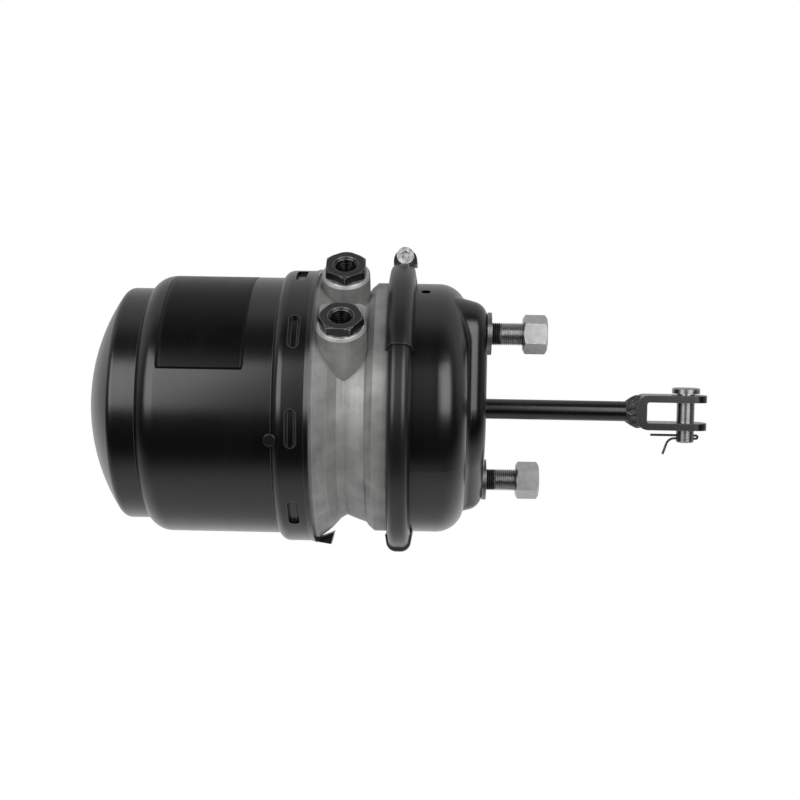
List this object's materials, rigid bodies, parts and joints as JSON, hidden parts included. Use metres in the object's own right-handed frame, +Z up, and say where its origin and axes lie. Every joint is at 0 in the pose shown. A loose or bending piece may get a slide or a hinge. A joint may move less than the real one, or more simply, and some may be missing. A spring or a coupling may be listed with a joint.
{
  "type": "air brake chamber",
  "caption": "Spring and service air brake chamber: deep black can, cast flange with two air ports, clamped bowl with two studs, push rod and clevis.",
  "frame": {"origin": "centre of the mounting face, where the push rod's axis crosses it", "axes": "+X along the push rod towards the clevis, +Z up as the part is shown, -Y towards the camera"},
  "size_m": [0.4391, 0.2064, 0.2193],
  "materials": {
    "black_paint": "semi-gloss black paint on drawn steel",
    "cast_aluminium": "as-cast",
    "zinc_steel": "zinc plated",
    "black_steel": "black oxide",
    "spring_steel": "black coated wire",
    "rubber": "matte",
    "plastic": "moulded"
  },
  "bodies": {
    "housing": {"spring_housing": "black_paint", "service_housing": "black_paint", "clamp_ring_near": "black_paint", "clamp_ring_far": "black_paint", "clamp_link": "black_paint", "clamp_saddle_near": "black_paint", "clamp_saddle_far": "black_paint", "port_casting": "cast_aluminium", "stud_upper": "zinc_steel", "washer_upper": "zinc_steel", "nut_upper": "zinc_steel", "stud_lower": "zinc_steel", "washer_lower": "zinc_steel", "nut_lower": "zinc_steel", "port_seal_upper": "zinc_steel", "port_seal_lower": "zinc_steel", "port_adapter_upper": "black_steel", "port_adapter_lower": "black_steel", "release_insert": "black_steel", "clamp_screw": "black_steel", "clamp_nut": "black_steel", "lock_ring": "spring_steel", "power_spring": "spring_steel", "return_spring": "spring_steel", "main_seal": "rubber", "diaphragm": "rubber", "tube_seal": "rubber", "vent_plug": "plastic", "dust_guard": "plastic", "tube_bush": "plastic"},
    "parking_piston": {"parking_piston": "cast_aluminium", "piston_guide": "plastic", "piston_seal": "rubber", "push_tube": "black_steel", "tube_cap": "plastic"},
    "push_rod": {"push_plate": "black_steel", "push_rod": "zinc_steel", "rod_weld": "black_steel", "clevis": "zinc_steel"},
    "clevis_pin": {"clevis_pin": "zinc_steel", "split_pin": "zinc_steel"},
    "release_bolt": {"release_bolt": "zinc_steel"}
  },
  "joints": [
    {"name": "parking_piston_slide", "type": "slide", "parent": "housing", "child": "parking_piston", "axis": [1, 0, 0], "range_m": [-0.064, 0], "stiffness_N_per_m": 42000, "deforming": ["power_spring"]},
    {"name": "push_rod_slide", "type": "slide", "parent": "housing", "child": "push_rod", "axis": [1, 0, 0], "range_m": [-0.064, 0], "deforming": ["diaphragm", "return_spring"]},
    {"name": "clevis_pin_spin", "type": "hinge", "parent": "push_rod", "child": "clevis_pin", "pos_m": [0.1453, 0, 0], "axis": [0, -0.061, 0.9981], "continuous": true},
    {"name": "release_bolt_turn", "type": "hinge", "parent": "housing", "child": "release_bolt", "pos_m": [-0.28, 0, 0], "axis": [1, 0, 0], "continuous": true}
  ],
  "couplings": [
    {"joint": "push_rod_slide", "follows": "parking_piston_slide", "ratio": 1}
  ]
}
